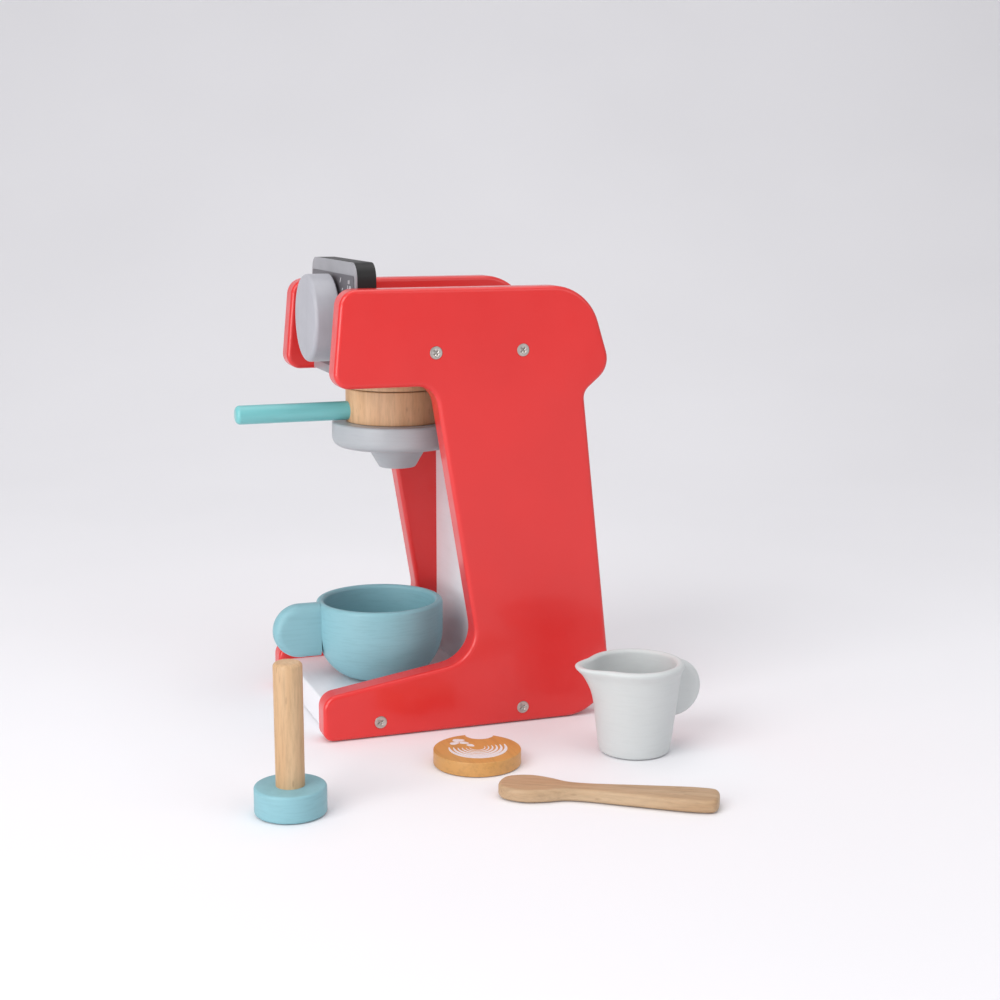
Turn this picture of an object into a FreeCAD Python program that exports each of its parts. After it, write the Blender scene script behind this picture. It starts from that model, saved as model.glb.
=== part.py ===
"""A wooden toy coffee maker with its play pieces, in millimetres.

The machine stands on the plane Z = 0 with its front towards -Y, and the origin is the middle of its base.
Two outline-cut side panels hold a base board, a back board and a head shelf. The head carries a control
board with a turning knob, and a brew head with a portafilter under it. A cup stands on the base board, and
a tamper, a milk jug, a latte disc and a spoon lie beside the machine.
"""
import FreeCAD
import Part
import PartDesign
import Sketcher
import math
import os
import re

V = FreeCAD.Vector
doc = FreeCAD.newDocument("ToyCoffeeMaker")
sheet = doc.addObject("Spreadsheet::Sheet", "Dims")

SIZES = {
    # overall
    "inner_width": 102.0,
    "panel_thick": 15.0,
    "panel_edge_round": 2.6,
    # side panel outline: y and z of each sharp corner, before it is rounded
    "brow_y": -74.8, "top_z": 258.0, "brow_round": 10.0,
    "crown_y": 72.0, "crown_round": 30.0,
    "nose_y": 86.8, "nose_drop": 47.4, "nose_z": "=top_z - nose_drop", "nose_round": 14.0,
    "nape_y": 70.0, "nape_drop": 61.8, "nape_z": "=top_z - nape_drop", "nape_round": 8.0,
    "heel_y": 91.9, "heel_round": 27.0,
    "toe_y": -89.0, "toe_round": 6.0,
    "tip_z": 26.4, "tip_round": 9.0,
    "elbow_y": 5.8, "elbow_z": 41.3, "elbow_round": 21.0,
    "chin_drop": 54.9, "chin_z": "=top_z - chin_drop",
    "throat_y": -20.9, "throat_round": 12.0,
    "chin_y": -80.1, "chin_round": 8.5,
    # boards between the panels
    "base_thick": 18.0, "base_front": -84.0, "base_rear": 44.0,
    "board_round": 1.2,
    "wall_front": 16.5, "wall_thick": 10.0,
    "shelf_drop": 44.0, "shelf_low": "=top_z - shelf_drop", "shelf_thick": 16.0,
    "shelf_front": -50.5, "shelf_rear": 44.0,
    # side screws
    "screw_head_rad": 3.75, "screw_rim": 0.3, "screw_cone": 2.1, "screw_rad": 1.75,
    "screw_length": 28.0, "screw_gap": 0.05,
    "screw_drop": 36.0, "screw_head_z": "=top_z - screw_drop",
    "screw_head_y_a": -20.4, "screw_head_y_b": 31.8,
    "screw_base_z": 9.0, "screw_base_y_a": -55.3, "screw_base_y_b": 32.8,
    "recess_long": 4.4, "recess_wide": 0.95, "recess_deep": 1.5,
    # control board
    "control_front": -62.5, "control_drop": 54.0, "control_low": "=top_z - control_drop",
    "control_over": 13.7, "control_top": "=top_z + control_over", "control_round": 9.0,
    "face_thick": 1.0, "display_thick": 0.4, "display_side": 3.0,
    "display_up": 5.0, "display_low": "=control_low + display_up",
    "display_under": 7.3, "display_top": "=control_top - display_under", "display_round": 2.0,
    # knob, turning about the y direction
    "knob_drop": 19.8, "knob_z": "=top_z - knob_drop", "knob_rad": 25.5, "knob_thick": 15.4, "knob_round": 2.6,
    "axle_rad": 4.0, "axle_gap": 0.06, "axle_in_knob": 8.0, "spacer_rad": 8.0, "spacer_thick": 2.0,
    "retainer_rad": 7.6, "retainer_thick": 4.0, "knob_play": 0.2,
    "small_screw_head_rad": 3.2, "small_screw_rad": 1.5, "small_screw_length": 14.0,
    "small_screw_head_thick": 1.8,
    # brew head and portafilter, about one upright line
    "brew_y": -24.5, "brew_rad": 30.6, "brew_drop": 61.6, "brew_low": "=top_z - brew_drop",
    "brew_neck_rad": 25.5, "brew_head_tall": 6.2, "brew_neck_z": "=brew_low + brew_head_tall",
    "filter_gap": 0.5, "filter_tall": 20.0, "filter_top": "=brew_low - filter_gap",
    "filter_low": "=filter_top - filter_tall",
    "basket_rad": 20.0, "basket_deep": 13.0, "basket_floor": "=filter_top - basket_deep", "spigot_gap": 0.07, "spigot_deep": 4.0,
    "filter_rad": 30.6, "wood_round": 0.8,
    "magnet_rad": 4.0, "magnet_thick": 3.0, "magnet_circle": 24.9,
    "dish_rad": 39.0, "dish_tall": 15.0, "dish_low": "=filter_low - dish_tall", "dish_round": 5.0, "dish_top_round": 1.2,
    "nozzle_tall": 13.2, "nozzle_low": "=dish_low - nozzle_tall", "nozzle_top_rad": 18.6, "nozzle_low_rad": 11.0,
    "spout_rad": 3.0, "spout_deep": 5.0,
    "pin_rad": 4.0, "pin_down": 6.0, "pin_low": "=dish_low - pin_down", "pin_up": 5.0,
    "pin_top": "=filter_low + pin_up",
    "handle_rad": 5.6, "handle_tip_round": 4.6, "handle_under": 13.0, "handle_z": "=filter_top - handle_under", "handle_inner": 24.0, "handle_reach": 98.0,
    # cup on the base board
    "cup_y": -36.7, "cup_lift": 0.1, "cup_rad": 38.7, "cup_tall": 48.3, "cup_wall": 4.7,
    "cup_foot_rad": 14.0, "cup_bend_z": 30.0, "cup_floor": 5.0, "cup_rim_round": 1.6,
    "cup_tab_y": -87.0, "cup_tab_z": 50.3, "cup_tab_rad": 16.4, "cup_tab_thick": 12.0,
    "tab_round": 5.0, "tab_pin_rad": 2.5, "tab_pin_long": 12.0, "jug_pin_long": 10.0,
    # milk jug beside the heel
    "jug_x": 133.0, "jug_y": 75.0, "jug_low_rad": 20.2, "jug_top_rad": 26.6, "jug_tall": 52.0,
    "jug_wall": 3.6, "jug_floor": 5.0, "jug_spout": 9.6, "spout_spread": 0.42,
    "jug_tab_out": 23.1, "jug_tab_z": 34.6, "jug_tab_rad": 16.7, "jug_tab_thick": 10.0,
    # tamper in front of the toe
    "tamper_x": 163.5, "tamper_y": -131.0, "tamper_rad": 18.7, "tamper_tall": 14.4,
    "tamper_round": 1.0, "grip_rad": 7.5, "grip_top": 79.5, "grip_low": 7.0, "grip_round": 2.0,
    # latte disc and spoon
    "latte_x": 124.7, "latte_y": -16.6, "latte_rad": 24.4, "latte_thick": 8.0, "latte_round": 0.8,
    "notch_rad": 8.0, "notch_turn": 158.0,
    "spoon_x": 173.5, "spoon_y": -21.5, "spoon_turn": 60.0, "spoon_long": 115.5, "spoon_thick": 7.0,
    "spoon_bowl": 12.9, "spoon_neck": 6.0, "spoon_end": 11.0, "spoon_round": 2.0,
    # dowels that join the boards
    "dowel_rad": 3.0, "dowel_long": 20.0,
}
for row, (alias, value) in enumerate(SIZES.items(), start=1):
    sheet.set(f"A{row}", alias)
    sheet.set(f"B{row}", str(value))
    sheet.setAlias(f"B{row}", alias)
doc.recompute()


def size(alias):
    return float(sheet.get(alias))


def full(text):
    """An expression with Dims. put before each alias in it."""
    return re.sub(r"[a-z][a-z_]+", lambda m: "Dims." + m.group(0) if m.group(0) in SIZES else m.group(0), text)


def bind(obj, **props):
    for name, text in props.items():
        obj.setExpression(name, full(text))
    return obj


def place(obj, x="0", y="0", z="0"):
    for axis, text in zip("xyz", (x, y, z)):
        obj.setExpression(f"Placement.Base.{axis}", full(text))
    return obj


def box(name, x, y, z, length, width, height):
    obj = bind(doc.addObject("Part::Box", name), Length=length, Width=width, Height=height)
    return place(obj, x, y, z)


TURN = {
    "Z": FreeCAD.Rotation(),
    "Y": FreeCAD.Rotation(V(1, 0, 0), -90),
    "X": FreeCAD.Rotation(V(0, 1, 0), 90),
    "-X": FreeCAD.Rotation(V(0, 1, 0), -90),
    "-Y": FreeCAD.Rotation(V(1, 0, 0), 90),
}


def rod(name, rad, length, x="0", y="0", z="0", along="Z"):
    obj = bind(doc.addObject("Part::Cylinder", name), Radius=rad, Height=length)
    obj.Placement.Rotation = TURN[along]
    return place(obj, x, y, z)


def cone(name, rad_a, rad_b, length, x="0", y="0", z="0", along="Z"):
    obj = bind(doc.addObject("Part::Cone", name), Radius1=rad_a, Radius2=rad_b, Height=length)
    obj.Placement.Rotation = TURN[along]
    return place(obj, x, y, z)


def fuse(name, pieces):
    obj = doc.addObject("Part::MultiFuse", name)
    obj.Shapes = pieces
    obj.Refine = True
    return obj


def cut(name, base, tools):
    tool = tools[0] if len(tools) == 1 else fuse(name + "_tools", tools)
    obj = doc.addObject("Part::Cut", name)
    obj.Base = base
    obj.Tool = tool
    return obj


def common(name, base, tool):
    obj = doc.addObject("Part::Common", name)
    obj.Base = base
    obj.Tool = tool
    return obj


def rounded(name, base, alias, wanted):
    """A fillet of the sheet's radius on the edges of base for which wanted(edge) is true."""
    doc.recompute()
    picked = [i for i, edge in enumerate(base.Shape.Edges, start=1) if wanted(edge)]
    if not picked:
        raise RuntimeError(f"{name}: no edge to round")
    obj = doc.addObject("Part::Fillet", name)
    obj.Base = base
    obj.Edges = [(i, size(alias), size(alias)) for i in picked]
    doc.recompute()
    return obj


def is_ring(edge, rad=None, low=None, high=None):
    """True for a full circle about an upright line, of that radius, between two heights."""
    if not isinstance(edge.Curve, Part.Circle) or abs(abs(edge.Curve.Axis.z) - 1) > 1e-6:
        return False
    mid = edge.BoundBox.Center.z
    near = rad is None or abs(edge.Curve.Radius - rad) < 0.02
    return near and (low is None or mid > low) and (high is None or mid < high)


def solid(name, shape, place_at=None):
    """A sub-part whose shape is computed from the sheet's sizes."""
    obj = doc.addObject("Part::Feature", name)
    obj.Shape = shape
    obj.Placement = place_at or FreeCAD.Placement()
    return obj


# The side panels: one outline with ten corners, each with its own round.
CORNERS = [
    ("toe_y", None, "toe_round"),
    ("toe_y", "tip_z", "tip_round"),
    ("elbow_y", "elbow_z", "elbow_round"),
    ("throat_y", "chin_z", "throat_round"),
    ("chin_y", "chin_z", "chin_round"),
    ("brow_y", "top_z", "brow_round"),
    ("crown_y", "top_z", "crown_round"),
    ("nose_y", "nose_z", "nose_round"),
    ("nape_y", "nape_z", "nape_round"),
    ("heel_y", None, "heel_round"),
]
SCREWS = [
    ("screw_head_y_a", "screw_head_z"),
    ("screw_head_y_b", "screw_head_z"),
    ("screw_base_y_a", "screw_base_z"),
    ("screw_base_y_b", "screw_base_z"),
]


def side_panel(side, inner_face):
    """The board of one side as a padded sketch with rounded corners, and its screw holes cut."""
    body = doc.addObject("PartDesign::Body", f"{side}_panel_body")
    plane = next(f for f in body.Origin.OriginFeatures if f.Role == "YZ_Plane")
    sketch = body.newObject("Sketcher::SketchObject", f"{side}_outline")
    sketch.AttachmentSupport = (plane, [""])
    sketch.MapMode = "FlatFace"
    points = [V(size(y), size(z) if z else 0.0, 0) for y, z, _ in CORNERS]
    count = len(points)
    for i in range(count):
        sketch.addGeometry(Part.LineSegment(points[i], points[(i + 1) % count]), False)
    for i in range(count):
        sketch.addConstraint(Sketcher.Constraint("Coincident", i, 2, (i + 1) % count, 1))
    for i, (y, z, _) in enumerate(CORNERS):
        for kind, alias, value in (("DistanceX", y, points[i].x), ("DistanceY", z, points[i].y)):
            if alias is None:
                sketch.addConstraint(Sketcher.Constraint("PointOnObject", i, 1, -1))
                continue
            ends = (-1, 1, i, 1) if value > 0 else (i, 1, -1, 1)
            number = sketch.addConstraint(Sketcher.Constraint(kind, *ends, abs(value)))
            sketch.setExpression(f"Constraints[{number}]", full(alias if value > 0 else f"-{alias}"))
    sketch.setExpression("AttachmentOffset.Base.z", full(inner_face))
    doc.recompute()
    pad = body.newObject("PartDesign::Pad", f"{side}_board")
    pad.Profile = sketch
    pad.setExpression("Length", full("panel_thick"))
    doc.recompute()
    last = pad
    for y, z, radius in CORNERS:
        spot = (size(y), size(z) if z else 0.0)
        names = []
        for i, edge in enumerate(last.Shape.Edges, start=1):
            ends = [v.Point for v in edge.Vertexes]
            if all(abs(p.y - spot[0]) < 0.01 and abs(p.z - spot[1]) < 0.01 for p in ends):
                names.append(f"Edge{i}")
        turn = body.newObject("PartDesign::Fillet", f"{side}_{radius}")
        turn.Base = (last, names)
        turn.setExpression("Radius", full(radius))
        doc.recompute()
        last = turn
    rim = body.newObject("PartDesign::Fillet", f"{side}_rim")
    names = []
    for i, edge in enumerate(last.Shape.Edges, start=1):
        if edge.BoundBox.XLength < 0.01:
            names.append(f"Edge{i}")
    rim.Base = (last, names)
    rim.setExpression("Radius", full("panel_edge_round"))
    doc.recompute()
    body.Tip = rim
    outwards = 1 if side == "right" else -1
    sign = "" if side == "right" else "-"
    inside = f"{sign}(inner_width / 2 - 1)"
    outside = f"{sign}(inner_width / 2 + panel_thick - screw_rim)"
    along = "X" if outwards > 0 else "-X"
    holes = []
    for number, (y, z) in enumerate(SCREWS, start=1):
        holes.append(rod(f"{side}_hole_{number}", "screw_rad + screw_gap", "panel_thick + 2", inside, y, z, along))
        back = "-X" if outwards > 0 else "X"
        holes.append(cone(f"{side}_sink_{number}", "screw_head_rad + screw_gap", "screw_rad + screw_gap",
                          "screw_cone", outside, y, z, back))
        holes.append(rod(f"{side}_rim_{number}", "screw_head_rad + screw_gap", "screw_rim + 1",
                         outside, y, z, along))
    return cut(f"{side}_side_panel", body, holes)


def side_screws(side):
    """Four countersunk screws with a cross recess, driven in from one side."""
    sign = "" if side == "right" else "-"
    into = "-X" if side == "right" else "X"
    face = f"{sign}(inner_width / 2 + panel_thick)"
    under = f"{sign}(inner_width / 2 + panel_thick - screw_rim)"
    neck = f"{sign}(inner_width / 2 + panel_thick - screw_rim - screw_cone)"
    made = []
    for number, (y, z) in enumerate(SCREWS, start=1):
        tag = f"{side}_screw_{number}"
        whole = fuse(tag + "_whole", [
            rod(tag + "_head", "screw_head_rad", "screw_rim", face, y, z, into),
            cone(tag + "_cone", "screw_head_rad", "screw_rad", "screw_cone", under, y, z, into),
            rod(tag + "_shank", "screw_rad", "screw_length - screw_cone", neck, y, z, into),
        ])
        deep = face if side == "left" else f"{face} - recess_deep"
        cross = [
            box(tag + "_slot_a", deep, f"{y} - recess_long / 2", f"{z} - recess_wide / 2",
                "recess_deep", "recess_long", "recess_wide"),
            box(tag + "_slot_b", deep, f"{y} - recess_wide / 2", f"{z} - recess_long / 2",
                "recess_deep", "recess_wide", "recess_long"),
        ]
        made.append(cut(tag, whole, cross))
    return fuse(f"{side}_side_screws", made)


def pilot_holes(tag, pairs):
    """Blind holes from both ends of a board, for the side screws."""
    holes = []
    for number, (y, z) in enumerate(pairs, start=1):
        deep = "screw_length - panel_thick + 2"
        holes.append(rod(f"{tag}_pilot_r{number}", "screw_rad + screw_gap", deep, "inner_width / 2", y, z, "-X"))
        holes.append(rod(f"{tag}_pilot_l{number}", "screw_rad + screw_gap", deep, "-inner_width / 2", y, z, "X"))
    return holes


right_side_panel = side_panel("right", "inner_width / 2")
left_side_panel = side_panel("left", "-(inner_width / 2 + panel_thick)")
right_side_screws = side_screws("right")
left_side_screws = side_screws("left")

# Dowels: two stand in the base board and the shelf under and over the back board, and two lie between
# the shelf and the control board.
DOWEL_X = (-34, 34)
WALL_MID = "wall_front + wall_thick / 2"
low_dowels = [rod(f"low_dowel_{x + 34}", "dowel_rad", "dowel_long", str(x), WALL_MID, "base_thick - dowel_long / 2")
              for x in DOWEL_X]
top_dowels = [rod(f"top_dowel_{x + 34}", "dowel_rad", "dowel_long", str(x), WALL_MID, "shelf_low - dowel_long / 2")
              for x in DOWEL_X]
front_dowels = [rod(f"front_dowel_{x + 34}", "dowel_rad", "dowel_long * 0.8", str(x),
                    "shelf_front - dowel_long * 0.4", "shelf_low + shelf_thick / 2", "Y") for x in DOWEL_X]
wall_dowels = fuse("back_board_dowels", low_dowels + top_dowels)
control_dowels = fuse("control_board_dowels", front_dowels)

# Boards between the panels.
base_raw = box("base_raw", "-inner_width / 2", "base_front", "0", "inner_width", "base_rear - base_front",
               "base_thick")
base_soft = rounded("base_soft", base_raw, "board_round",
                    lambda e: e.BoundBox.XLength > 50 and e.BoundBox.YMax < size("base_front") + 1)
base_board = cut("base_board", base_soft, pilot_holes("base", SCREWS[2:]) + low_dowels)
back_board = cut("back_board", box("back_raw", "-inner_width / 2", "wall_front", "base_thick", "inner_width",
                                   "wall_thick", "shelf_low - base_thick"), low_dowels + top_dowels)
shelf_raw = box("shelf_raw", "-inner_width / 2", "shelf_front", "shelf_low", "inner_width",
                "shelf_rear - shelf_front", "shelf_thick")
BREW_SCREW_X = (-14, 14)
shelf_holes = [rod(f"shelf_hole_{x + 14}", "small_screw_rad + screw_gap", "shelf_thick + 2", str(x), "brew_y",
                   "shelf_low - 1") for x in BREW_SCREW_X]
head_shelf = cut("head_shelf", shelf_raw, pilot_holes("shelf", SCREWS[:2]) + top_dowels + front_dowels
                 + shelf_holes)


# Control board, its light face plate and the dark display on it.
def plate(name, front, thick, side, low, top, corner):
    """An upright board across the head, with its two upper corners rounded."""
    raw = box(name + "_raw", f"-inner_width / 2 + {side}", front, low, f"inner_width - 2 * ({side})", thick,
              f"{top} - {low}")
    high = size(top) - 0.1
    return rounded(name + "_shaped", raw, corner, lambda e: e.BoundBox.YLength > 0.1 and e.BoundBox.ZMin > high
                   and e.BoundBox.XLength < 0.1)


axle_hole = rod("axle_hole", "axle_rad + axle_gap", "40", "0", "control_front - 10", "knob_z", "Y")
control_board = cut("control_board", plate("control", "control_front + face_thick",
                    "shelf_front - control_front - face_thick", "0", "control_low", "control_top",
                    "control_round"), [axle_hole] + front_dowels)
control_face = cut("control_face", plate("face", "control_front", "face_thick", "0", "control_low",
                                         "control_top", "control_round"), [axle_hole])
display_panel = cut("display_panel", plate("display", "control_front - display_thick", "display_thick",
                                           "display_side", "display_low", "display_top", "display_round"),
                    [rod("display_hole", "spacer_rad + 0.1", "4", "0", "control_front - 2", "knob_z", "Y")])
knob_spacer = cut("knob_spacer", rod("spacer_raw", "spacer_rad", "spacer_thick", "0",
                                     "control_front - spacer_thick", "knob_z", "Y"), [axle_hole])

# The knob on its axle, held behind the board by a retainer and a screw.
KNOB_BACK = "control_front - spacer_thick - knob_play"
knob_raw = rod("knob_raw", "knob_rad", "knob_thick", "0", KNOB_BACK, "knob_z", "-Y")
knob_soft = rounded("knob_soft", knob_raw, "knob_round", lambda e: isinstance(e.Curve, Part.Circle)
                    and e.BoundBox.YLength < 0.01)
knob_socket = rod("knob_socket", "axle_rad", "axle_in_knob", "0", KNOB_BACK, "knob_z", "-Y")
knob = cut("knob", knob_soft, [knob_socket])
AXLE_TAIL = "shelf_front + knob_play"
axle_raw = rod("axle_raw", "axle_rad", f"{AXLE_TAIL} - ({KNOB_BACK}) + axle_in_knob", "0",
               f"{KNOB_BACK} - axle_in_knob", "knob_z", "Y")
small_pilot = rod("small_pilot", "small_screw_rad", "small_screw_length", "0",
                  f"{AXLE_TAIL} + retainer_thick", "knob_z", "-Y")
knob_axle = cut("knob_axle", axle_raw, [small_pilot])
knob_retainer = cut("knob_retainer", rod("retainer_raw", "retainer_rad", "retainer_thick", "0", AXLE_TAIL,
                                         "knob_z", "Y"), [small_pilot])
knob_screw = fuse("knob_screw", [
    rod("knob_screw_shank", "small_screw_rad", "small_screw_length", "0", f"{AXLE_TAIL} + retainer_thick",
        "knob_z", "-Y"),
    cone("knob_screw_head", "small_screw_head_rad", "small_screw_head_rad * 0.6", "small_screw_head_thick", "0",
         f"{AXLE_TAIL} + retainer_thick", "knob_z", "Y"),
])


# Brew head: a turned block under the shelf, with a spigot that the basket turns on.
def magnets(tag, low, rad="magnet_rad"):
    """Three discs on one circle about the brewing line."""
    made = []
    for number in range(3):
        angle = math.radians(30 + 120 * number)
        made.append(rod(f"{tag}_{number + 1}", rad, "magnet_thick", f"magnet_circle * {math.cos(angle):.6f}",
                        f"brew_y + magnet_circle * {math.sin(angle):.6f}", low))
    return made


brew_magnets = magnets("brew_magnet", "brew_low")
brew_raw = fuse("brew_raw", [
    rod("brew_block", "brew_rad", "brew_neck_z - brew_low", "0", "brew_y", "brew_low"),
    rod("brew_neck", "brew_neck_rad", "shelf_low - brew_neck_z", "0", "brew_y", "brew_neck_z"),
    rod("brew_spigot", "basket_rad - spigot_gap", "spigot_deep + 1", "0", "brew_y", "brew_low - spigot_deep"),
])
brew_pilots = [rod(f"brew_pilot_{x + 14}", "small_screw_rad", "small_screw_length * 2", str(x), "brew_y",
                   "shelf_low + shelf_thick - small_screw_length * 2") for x in BREW_SCREW_X]
brew_head = cut("brew_head", brew_raw, brew_pilots + brew_magnets)
brew_head_magnets = fuse("brew_head_magnets", brew_magnets)
brew_screws = []
for x in BREW_SCREW_X:
    top = "shelf_low + shelf_thick"
    brew_screws.append(rod(f"brew_shank_{x + 14}", "small_screw_rad", "small_screw_length * 2", str(x), "brew_y",
                           f"{top} - small_screw_length * 2"))
    brew_screws.append(cone(f"brew_screw_head_{x + 14}", "small_screw_head_rad", "small_screw_head_rad * 0.6",
                            "small_screw_head_thick", str(x), "brew_y", top))
brew_head_screws = fuse("brew_head_screws", brew_screws)

# Portafilter: wooden basket, grey dish and nozzle on one pin, and a teal handle.
filter_magnet_discs = magnets("filter_magnet", "filter_top - magnet_thick")
portafilter_pin = rod("portafilter_pin", "pin_rad", "pin_top - pin_low", "0", "brew_y", "pin_low")
handle_raw = rod("handle_raw", "handle_rad", "handle_reach - handle_inner", "0", "brew_y - handle_inner",
                 "handle_z", "-Y")
portafilter_handle = rounded("portafilter_handle", handle_raw, "handle_tip_round", lambda e:
                             isinstance(e.Curve, Part.Circle) and e.BoundBox.YMax < size("brew_y") - size("handle_reach") + 1)
filter_round = rounded("filter_round", rod("filter_raw", "filter_rad", "filter_top - filter_low", "0", "brew_y",
                                           "filter_low"), "wood_round", lambda e: is_ring(e))
portafilter_basket = cut("portafilter_basket", filter_round, [
    rod("basket_hole", "basket_rad", "30", "0", "brew_y", "basket_floor"),
    portafilter_pin,
    handle_raw,
] + filter_magnet_discs)
filter_magnets = fuse("portafilter_magnets", filter_magnet_discs)
dish_low_round = rounded("dish_low_round", rod("dish_raw", "dish_rad", "filter_low - dish_low", "0", "brew_y",
                                               "dish_low"), "dish_round",
                         lambda e: is_ring(e, high=size("dish_low") + 1))
dish_soft = rounded("dish_soft", dish_low_round, "dish_top_round",
                    lambda e: is_ring(e, rad=size("dish_rad"), low=size("filter_low") - 1))
portafilter_dish = cut("portafilter_dish", dish_soft, [portafilter_pin])
portafilter_nozzle = cut("portafilter_nozzle", cone("nozzle_raw", "nozzle_low_rad", "nozzle_top_rad",
                         "dish_low - nozzle_low", "0", "brew_y", "nozzle_low"), [
    portafilter_pin,
    rod("spout_hole", "spout_rad", "spout_deep", "0", "brew_y", "nozzle_low"),
])


# Cup: a turned bowl, open at the top, with a half-round tab for a handle.
def bowl_face(rad, foot, low, bend, top):
    """The filled profile of a bowl in the xz plane: flat foot, quarter ellipse, straight wall."""
    centre = V(foot, 0, bend)
    tall = bend - low
    wide = rad - foot
    if tall > wide:
        curve = Part.Ellipse(V(foot, 0, low), V(rad, 0, bend), centre)
    else:
        curve = Part.Ellipse(V(rad, 0, bend), V(foot, 0, low), centre)
    start = curve.parameter(V(foot, 0, low))
    end = curve.parameter(V(rad, 0, bend))
    quarter = curve.toShape(min(start, end), max(start, end))
    if abs(start - end) > math.pi:
        quarter = curve.toShape(max(start, end), min(start, end) + 2 * math.pi)
    lines = [
        Part.makeLine(V(0, 0, low), V(foot, 0, low)),
        quarter,
        Part.makeLine(V(rad, 0, bend), V(rad, 0, top)),
        Part.makeLine(V(rad, 0, top), V(0, 0, top)),
        Part.makeLine(V(0, 0, top), V(0, 0, low)),
    ]
    return Part.Face(Part.Wire(Part.__sortEdges__(lines)))


def turned(face):
    return face.revolve(V(0, 0, 0), V(0, 0, 1), 360)


def tab(rad, reach, thick, round_rad):
    """A half-round upright tab: the round end towards -Y about the x direction, the straight part to +Y."""
    disc = Part.makeCylinder(rad, thick, V(-thick / 2, 0, 0), V(1, 0, 0))
    bar = Part.makeBox(thick, reach, 2 * rad, V(-thick / 2, 0, -rad))
    shape = disc.fuse(bar).removeSplitter()
    flat = [e for e in shape.Edges if e.BoundBox.XLength < 0.01 and e.BoundBox.YMax < reach - 0.01]
    long_ones = [e for e in shape.Edges if e.BoundBox.XLength < 0.01 and e.BoundBox.YLength > reach / 2
                 and e.BoundBox.ZLength < 0.01]
    names = {e.hashCode(): e for e in flat + long_ones}
    return shape.makeFillet(round_rad, list(names.values()))


cup_low = size("base_thick") + size("cup_lift")
cup_bend = size("cup_bend_z")
cup_outer = turned(bowl_face(size("cup_rad"), size("cup_foot_rad"), 0, cup_bend, size("cup_tall")))
cup_inner = turned(bowl_face(size("cup_rad") - size("cup_wall"), size("cup_foot_rad") - 4, size("cup_floor"),
                             cup_bend, size("cup_tall") + 5))
cup_shape = cup_outer.cut(cup_inner)
cup_shape = cup_shape.makeFillet(size("cup_rim_round"), [e for e in cup_shape.Edges
                                                         if is_ring(e, low=size("cup_tall") - 0.1)])
cup_spot = V(0, size("cup_y"), cup_low)
tab_gap = size("cup_y") - size("cup_rad") - size("cup_tab_y")
cup_tab = tab(size("cup_tab_rad"), tab_gap + 8, size("cup_tab_thick"), size("tab_round"))
tab_move = V(0, size("cup_tab_y") - size("cup_y"), size("cup_tab_z") - cup_low)
cup_tab.translate(tab_move)
cup_pin = Part.makeCylinder(size("tab_pin_rad"), size("tab_pin_long"), V(0, -size("cup_rad") + 2.4, size("cup_tab_z") - cup_low),
                            V(0, -1, 0))
cup_body = solid("cup_body", cup_shape.cut(cup_pin), FreeCAD.Placement(cup_spot, FreeCAD.Rotation()))
cup_handle = solid("cup_handle", cup_tab.cut(cup_outer).cut(cup_pin),
                   FreeCAD.Placement(cup_spot, FreeCAD.Rotation()))
cup_dowel = solid("cup_handle_dowel", cup_pin, FreeCAD.Placement(cup_spot, FreeCAD.Rotation()))


# Milk jug: round at the foot, drawn out to a lip at the top.
def ring_wire(rad, lip, height):
    """A closed level curve of that radius, with a lip of that reach towards -Y."""
    points = []
    for step in range(48):
        angle = 2 * math.pi * step / 48
        away = math.remainder(angle - 1.5 * math.pi, 2 * math.pi)
        reach = rad + lip * math.exp(-(away / size("spout_spread")) ** 2)
        points.append(V(reach * math.cos(angle), reach * math.sin(angle), height))
    curve = Part.BSplineCurve()
    curve.interpolate(points, PeriodicFlag=True)
    return Part.Wire(curve.toShape())


def jug_solid(inset, low, top):
    """The jug's outside, or its inside when inset is the wall's thickness."""
    tall = size("jug_tall")
    sections = []
    for share in (0.0, 0.3, 0.55, 0.72, 0.86, 1.0):
        height = low + (top - low) * share
        rad = size("jug_low_rad") + (size("jug_top_rad") - size("jug_low_rad")) * height / tall - inset
        rise = max(0.0, (height / tall - 0.55) / 0.45)
        sections.append(ring_wire(rad, size("jug_spout") * rise ** 1.7, height))
    return Part.makeLoft(sections, True, False)


jug_spot = V(size("jug_x"), size("jug_y"), 0)
jug_outer = jug_solid(0, 0, size("jug_tall"))
jug_inner = jug_solid(size("jug_wall"), size("jug_floor"), size("jug_tall") + 2)
jug_tab = tab(size("jug_tab_rad"), 12, size("jug_tab_thick"), size("tab_round") - 0.6)
jug_tab.rotate(V(0, 0, 0), V(0, 0, 1), 180)
jug_tab.translate(V(0, size("jug_tab_out"), size("jug_tab_z")))
jug_rad_there = size("jug_low_rad") + (size("jug_top_rad") - size("jug_low_rad")) * size("jug_tab_z") / size("jug_tall")
jug_pin = Part.makeCylinder(size("tab_pin_rad"), size("jug_pin_long"),
                            V(0, jug_rad_there - size("jug_wall") / 2, size("jug_tab_z")), V(0, 1, 0))
jug_shape = jug_outer.cut(jug_inner)
jug_body = solid("jug_body", jug_shape.cut(jug_pin), FreeCAD.Placement(jug_spot, FreeCAD.Rotation()))
jug_handle = solid("jug_handle", jug_tab.cut(jug_outer).cut(jug_pin),
                   FreeCAD.Placement(jug_spot, FreeCAD.Rotation()))
jug_dowel = solid("jug_handle_dowel", jug_pin, FreeCAD.Placement(jug_spot, FreeCAD.Rotation()))

# Tamper: a round foot on a dowel grip.
grip = rounded("tamper_handle", rod("grip_raw", "grip_rad", "grip_top - grip_low", "tamper_x", "tamper_y",
                                    "grip_low"), "grip_round", lambda e: is_ring(e, low=size("grip_top") - 1))
foot_soft = rounded("foot_soft", rod("foot_raw", "tamper_rad", "tamper_tall", "tamper_x", "tamper_y", "0"),
                    "tamper_round", lambda e: is_ring(e))
tamper_base = cut("tamper_base", foot_soft, [grip])

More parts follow.
